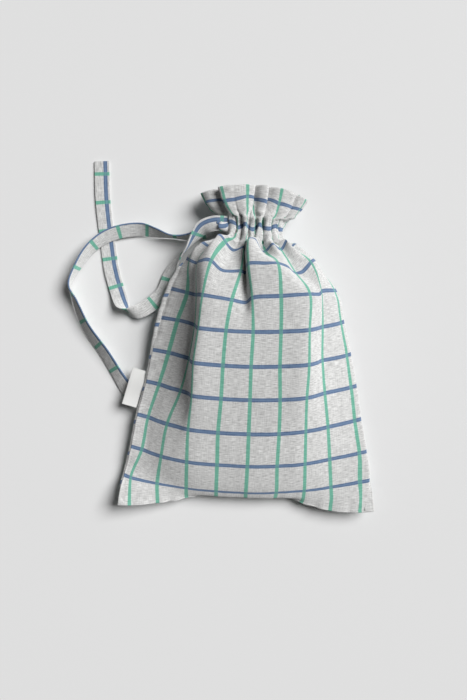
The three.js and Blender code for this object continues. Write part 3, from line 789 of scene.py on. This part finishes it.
def stitch_row(name, points, side, flat_at):
    line = np.stack([straight_through(along, column, flat_at) for column in points.swapaxes(0, 1)])
    out = grid_normals(points)[np.searchsorted(along, flat_at)] * side
    run = run_along(line)
    starts = np.arange(STITCH_PITCH, run[-1] - STITCH_PITCH, STITCH_PITCH)
    stops = starts[:, None] + STITCH * RINGS_AT
    centre = straight_through(run, line, stops)
    up = unit(straight_through(run, out, stops))
    aside = unit(np.cross(up, np.gradient(centre, axis=1)))
    centre += up * (THREAD_RADIUS * RING_LIFT)[None, :, None]
    turn = np.arange(SIDES) * 2 * math.pi / SIDES
    rim = aside[:, :, None] * np.cos(turn)[:, None] + up[:, :, None] * np.sin(turn)[:, None]
    tubes = centre[:, :, None] + rim * (THREAD_RADIUS * RING_SIZE)[None, :, None, None]
    index = np.arange(len(starts) * len(RINGS_AT) * SIDES).reshape(-1, len(RINGS_AT), SIDES)
    turned = np.roll(index, -1, axis=2)
    walls = np.stack([index[:, :-1], index[:, 1:], turned[:, 1:], turned[:, :-1]], -1).reshape(-1, 4)
    caps = np.concatenate([index[:, 0], index[:, -1, ::-1]])
    piece = add_piece(name, tubes, walls.tolist() + caps.tolist())
    dress(piece, "bag", [name.removesuffix("_thread")])
    print(name, len(starts), "stitches")
    return piece


stitches = [
    stitch_row("front_stitches_lower_thread", front_points, 1, LOWER_ROW_AT),
    stitch_row("front_stitches_upper_thread", front_points, 1, UPPER_ROW_AT),
    stitch_row("back_stitches_lower_thread", back_points, -1, LOWER_ROW_AT),
    stitch_row("back_stitches_upper_thread", back_points, -1, UPPER_ROW_AT),
]

# %% [markdown]
# ## What the two cloths are
# Each panel is one flat cut of cloth, 305 by 445 mm, held by the gathered casing.

# %% [markdown]
# ## The label
# A small woven label, folded double, is caught in the left side seam. Its printed words are left out. A
# thin box would look like a card, so the section draws both layers with the fold at the outer edge, and
# the tape curls up a little toward its ends.

# %% Label
# The hinge is the middle of the seam that holds the label, the run is the way of that seam, and the
# section is (out from the seam, up). The lift of the tape is in degrees.
LABEL_LENGTH = 45
LABEL_STEPS = 13
LABEL_WAVE, LABEL_WAVES = 0.5, 7
LABEL_LIFT, LABEL_CURL, LABEL_TWIST = 4, 8, 5
HINGE = np.array([-129.31, -53.355, 15])
LABEL_RUN = np.array([0.253, 0.9675, 0])
LABEL_SECTION = [
    (-1.5, 0.1), (-1.5, 0.42), (6, 0.45), (12, 0.45), (15.4, 0.42), (16.1, 0.25), (16.3, 0), (16.1, -0.25),
    (15.4, -0.42), (12, -0.45), (6, -0.45), (-1.5, -0.42), (-1.5, -0.1), (6, -0.05), (12, 0), (6, 0.05),
]

label_places = np.linspace(-0.5, 0.5, LABEL_STEPS)
outward = np.array([-LABEL_RUN[1], LABEL_RUN[0], 0])
label_line = HINGE + LABEL_RUN * (label_places * LABEL_LENGTH)[:, None]
label_line[:, 2] += LABEL_WAVE * np.sin(label_places * LABEL_WAVES)
lift = np.radians(LABEL_LIFT + LABEL_CURL * label_places**2 + LABEL_TWIST * label_places)[:, None]
label_aside = outward * np.cos(lift) + np.array([0, 0, 1]) * np.sin(lift)
label = swept("label_tab", label_line, label_aside, np.cross(label_aside, LABEL_RUN), LABEL_SECTION)
dress(label, "side_label", ["label"])
print("label", len(label.data.polygons), "faces")

# %% [markdown]
# ## The woven check
# The cloth is a plain weave of pale grey-white threads, with green lines along it and blue lines across
# it. An image could carry them, but nodes stay sharp from close by. The lines are woven, so they follow the
# flat cloth: the pattern reads the UV map, in metres on the cut panel.


# %% Short ways to add nodes
def add(tree, kind, **values):
    node = tree.nodes.new(kind)
    for key, value in values.items():
        setattr(node, key, value)
    return node


def feed(tree, socket, value):
    """Give a socket another node's output, or a plain value."""
    if hasattr(value, "links"):
        tree.links.new(value, socket)
    else:
        socket.default_value = value


def math_node(tree, operation, *values):
    node = add(tree, "ShaderNodeMath", operation=operation)
    for socket, value in zip(node.inputs, values):
        feed(tree, socket, value)
    return node.outputs[0]


def colour_mix(tree, factor, a, b):
    node = add(tree, "ShaderNodeMix", data_type="RGBA")
    for socket, value in zip((node.inputs[0], *node.inputs[6:8]), (factor, a, b)):
        feed(tree, socket, value)
    return node.outputs[2]


# %% Lines and slubs of the weave
THREAD_PITCH = 0.00075
LINE_EDGE = 0.0003


def line_mask(tree, place, first, pitch, width):
    """1 on a woven line, 0 off it, with a soft edge of one thread."""
    shifted = math_node(tree, "SUBTRACT", place, first - pitch / 2)
    share = math_node(tree, "FRACT", math_node(tree, "DIVIDE", shifted, pitch))
    off = math_node(tree, "ABSOLUTE", math_node(tree, "SUBTRACT", share, 0.5))
    off = math_node(tree, "MULTIPLY", off, pitch)
    edge = add(tree, "ShaderNodeMapRange", interpolation_type="SMOOTHSTEP")
    tree.links.new(off, edge.inputs["Value"])
    edge.inputs["From Min"].default_value = width / 2 - LINE_EDGE
    edge.inputs["From Max"].default_value = width / 2 + LINE_EDGE
    edge.inputs["To Min"].default_value = 1
    edge.inputs["To Max"].default_value = 0
    return edge.outputs["Result"]


check = bpy.data.node_groups.new("woven_check", "ShaderNodeTree")
check.interface.new_socket("Flat", in_out="INPUT", socket_type="NodeSocketVector")
check.interface.new_socket("Colour", in_out="OUTPUT", socket_type="NodeSocketColor")
check.interface.new_socket("Height", in_out="OUTPUT", socket_type="NodeSocketFloat")
inside = add(check, "NodeGroupInput")
outside = add(check, "NodeGroupOutput")
flat_xy = add(check, "ShaderNodeSeparateXYZ")
check.links.new(inside.outputs["Flat"], flat_xy.inputs[0])
flat_x, flat_y = flat_xy.outputs[:2]


def thread_wave(place):
    return math_node(check, "SINE", math_node(check, "MULTIPLY", place, 2 * math.pi / THREAD_PITCH))


def slub(stretch):
    """Uneven threads: noise drawn out along one way of the cloth."""
    drawn = add(check, "ShaderNodeMapping")
    check.links.new(inside.outputs["Flat"], drawn.inputs["Vector"])
    drawn.inputs["Scale"].default_value = stretch
    uneven = add(check, "ShaderNodeTexNoise", noise_dimensions="2D")
    check.links.new(drawn.outputs[0], uneven.inputs["Vector"])
    uneven.inputs["Scale"].default_value = 1
    uneven.inputs["Detail"].default_value = 2
    return math_node(check, "SUBTRACT", uneven.outputs["Fac"], 0.5)


# %% Height of the threads
# The stretch of a slub is in waves per metre, across and along the cloth.
LENGTHWISE_SHARE = 0.45
TONE_SPAN = 0.34
crosswise = slub((130, 1150, 1))
lengthwise = math_node(check, "MULTIPLY", slub((1100, 90, 1)), LENGTHWISE_SHARE)
weave_height = math_node(check, "MULTIPLY", thread_wave(flat_x), thread_wave(flat_y))
height = math_node(check, "MULTIPLY", weave_height, 0.5)
tone_range = add(check, "ShaderNodeMapRange")
check.links.new(math_node(check, "ADD", crosswise, lengthwise), tone_range.inputs["Value"])
tone_range.inputs["From Min"].default_value = -TONE_SPAN
tone_range.inputs["From Max"].default_value = TONE_SPAN
tone = tone_range.outputs[0]
print("threads every", THREAD_PITCH, "m")

# %% Colours of the check, from the darkest thread to the palest
GROUND = (0.46, 0.46, 0.455, 1), (0.89, 0.89, 0.88, 1)
BLUE = (0.053, 0.114, 0.248, 1), (0.133, 0.233, 0.407, 1)
BLUE_CORE = (0.178, 0.288, 0.454, 1)
BLUE_CORE_SHARE = 0.45
GREEN = (0.12, 0.395, 0.29, 1), (0.25, 0.60, 0.467, 1)
BLUE_OVER_GROUND = 0.94
GREEN_AT_CROSSING = 0.5

green = line_mask(check, flat_x, GREEN_FIRST, GREEN_PITCH, GREEN_WIDTH)
blue = line_mask(check, flat_y, BLUE_FIRST, BLUE_PITCH, BLUE_WIDTH)
blue_core = line_mask(check, flat_y, BLUE_FIRST, BLUE_PITCH, BLUE_WIDTH / 3)
blue_core = math_node(check, "MULTIPLY", blue_core, BLUE_CORE_SHARE)
blue_tone = colour_mix(check, blue_core, colour_mix(check, tone, *BLUE), BLUE_CORE)
lined = colour_mix(check, green, colour_mix(check, tone, *GROUND), colour_mix(check, tone, *GREEN))
both = math_node(check, "MULTIPLY", math_node(check, "MULTIPLY", green, blue), GREEN_AT_CROSSING)
crossed = math_node(check, "SUBTRACT", math_node(check, "MULTIPLY", blue, BLUE_OVER_GROUND), both)
lined = colour_mix(check, crossed, lined, blue_tone)
check.links.new(lined, outside.inputs["Colour"])
check.links.new(math_node(check, "ADD", height, crosswise), outside.inputs["Height"])
print("check group", len(check.nodes), "nodes")

# %% [markdown]
# ## The cloth's finish
# Washed linen and cotton is dull, with a faint bloom of loose fibres at its edges. A rough Principled
# surface with a little sheen gives both, and the height of the threads goes into a bump, because threads
# this fine would need far too many faces.


# %% Cloth material
def new_material(name, **finish):
    """A Principled material, with each named input set."""
    material = bpy.data.materials.new(name)
    material.use_nodes = True
    shader = material.node_tree.nodes["Principled BSDF"]
    for key, value in finish.items():
        shader.inputs[key.replace("_", " ")].default_value = value
    return material, material.node_tree, shader


def add_bump(tree, shader, height, strength, distance):
    bump = add(tree, "ShaderNodeBump")
    bump.inputs["Strength"].default_value = strength
    bump.inputs["Distance"].default_value = distance
    tree.links.new(height, bump.inputs["Height"])
    tree.links.new(bump.outputs[0], shader.inputs["Normal"])


cloth, cloth_tree, cloth_shader = new_material(
    "checked_cloth", Roughness=0.9, Diffuse_Roughness=0.7, Sheen_Weight=0.15, Sheen_Roughness=0.5,
)
flat_map = add(cloth_tree, "ShaderNodeUVMap", uv_map="flat")
weave = add(cloth_tree, "ShaderNodeGroup", node_tree=check)
cloth_tree.links.new(flat_map.outputs[0], weave.inputs["Flat"])
cloth_tree.links.new(weave.outputs["Colour"], cloth_shader.inputs["Base Color"])
add_bump(cloth_tree, cloth_shader, weave.outputs["Height"], strength=0.165, distance=0.0003)
tapes = [front_tail, back_tail, tie_loop]
seams = [left_seam, right_seam, bottom_seam]
checked = [front, back, front_facing, back_facing] + tapes + seams
for piece in checked:
    piece.data.materials.append(cloth)
print("checked pieces", len(checked))

# %% [markdown]
# ## Label and thread
# The label is a close-woven white tape, and the stitches are plain pale sewing thread. Their fine ribs
# could be modelled, but they only show as a slight roughness, so a wave texture in the bump stands for
# them.


# %% Label and thread materials
def ribbed_material(name, colour, roughness, rib_scale, rib_depth):
    material, tree, shader = new_material(name, Base_Color=colour, Roughness=roughness)
    place = add(tree, "ShaderNodeTexCoord")
    ribs = add(tree, "ShaderNodeTexWave", wave_type="BANDS", bands_direction="Y")
    ribs.inputs["Scale"].default_value = rib_scale
    tree.links.new(place.outputs["Object"], ribs.inputs["Vector"])
    add_bump(tree, shader, ribs.outputs["Fac"], strength=0.3, distance=rib_depth)
    return material


LABEL_WHITE = (0.80, 0.80, 0.785, 1)
THREAD_WHITE = (0.72, 0.72, 0.70, 1)
tape = ribbed_material("woven_label", LABEL_WHITE, roughness=0.7, rib_scale=400, rib_depth=0.0001)
thread = ribbed_material("sewing_thread", THREAD_WHITE, roughness=0.6, rib_scale=900, rib_depth=0.00008)
label.data.materials.append(tape)
for piece in stitches:
    piece.data.materials.append(thread)
print("plain materials", tape.name, thread.name)

# %% [markdown]
# ## Floor and light
# A plain pale floor keeps the soft shadow. The light comes from a large window or a soft box at the upper
# right. Several area lamps could give it, but one sun with a wide angle lights the whole bag evenly, and a
# faint world fills the shade. Where the camera sees past the floor, the world looks as pale as the floor
# does, without adding light.

# %% Floor
FLOOR_SIZE = 6
FLOOR_Z = -0.0002
bpy.ops.object.select_all(action="DESELECT")
bpy.ops.mesh.primitive_plane_add(size=FLOOR_SIZE, location=(0, 0, FLOOR_Z))
floor = bpy.context.object
floor.name = "floor"
floor_paint, _, _ = new_material("pale_floor", Base_Color=(0.80, 0.80, 0.80, 1), Roughness=0.7)
floor.data.materials.append(floor_paint)
print("floor", FLOOR_SIZE, "m wide")

# %% Lamp and world
SUN_FROM = Vector((0.57, 0.37, 0.735))
SUN_ENERGY = 3.7
SUN_ANGLE = math.radians(36)
ROOM_LIGHT = 0.06
SEEN_ROOM = 0.75
bpy.ops.object.light_add(type="SUN", location=SUN_FROM)
key = bpy.context.object
key.name = "key_lamp"
key.data.energy = SUN_ENERGY
key.data.angle = SUN_ANGLE
key.rotation_euler = (-SUN_FROM).to_track_quat("-Z", "Y").to_euler()

world = bpy.data.worlds.new("soft_room")
scene.world = world
world.use_nodes = True
room = world.node_tree
room.nodes["Background"].inputs["Color"].default_value = (1, 1, 1, 1)
seen = add(room, "ShaderNodeLightPath")
strength = add(room, "ShaderNodeMath", operation="MULTIPLY_ADD")
strength.inputs[1].default_value = SEEN_ROOM - ROOM_LIGHT
strength.inputs[2].default_value = ROOM_LIGHT
room.links.new(seen.outputs["Is Camera Ray"], strength.inputs[0])
room.links.new(strength.outputs[0], room.nodes["Background"].inputs["Strength"])
scene.view_settings.view_transform = "Standard"
print("key lamp", key.data.energy)
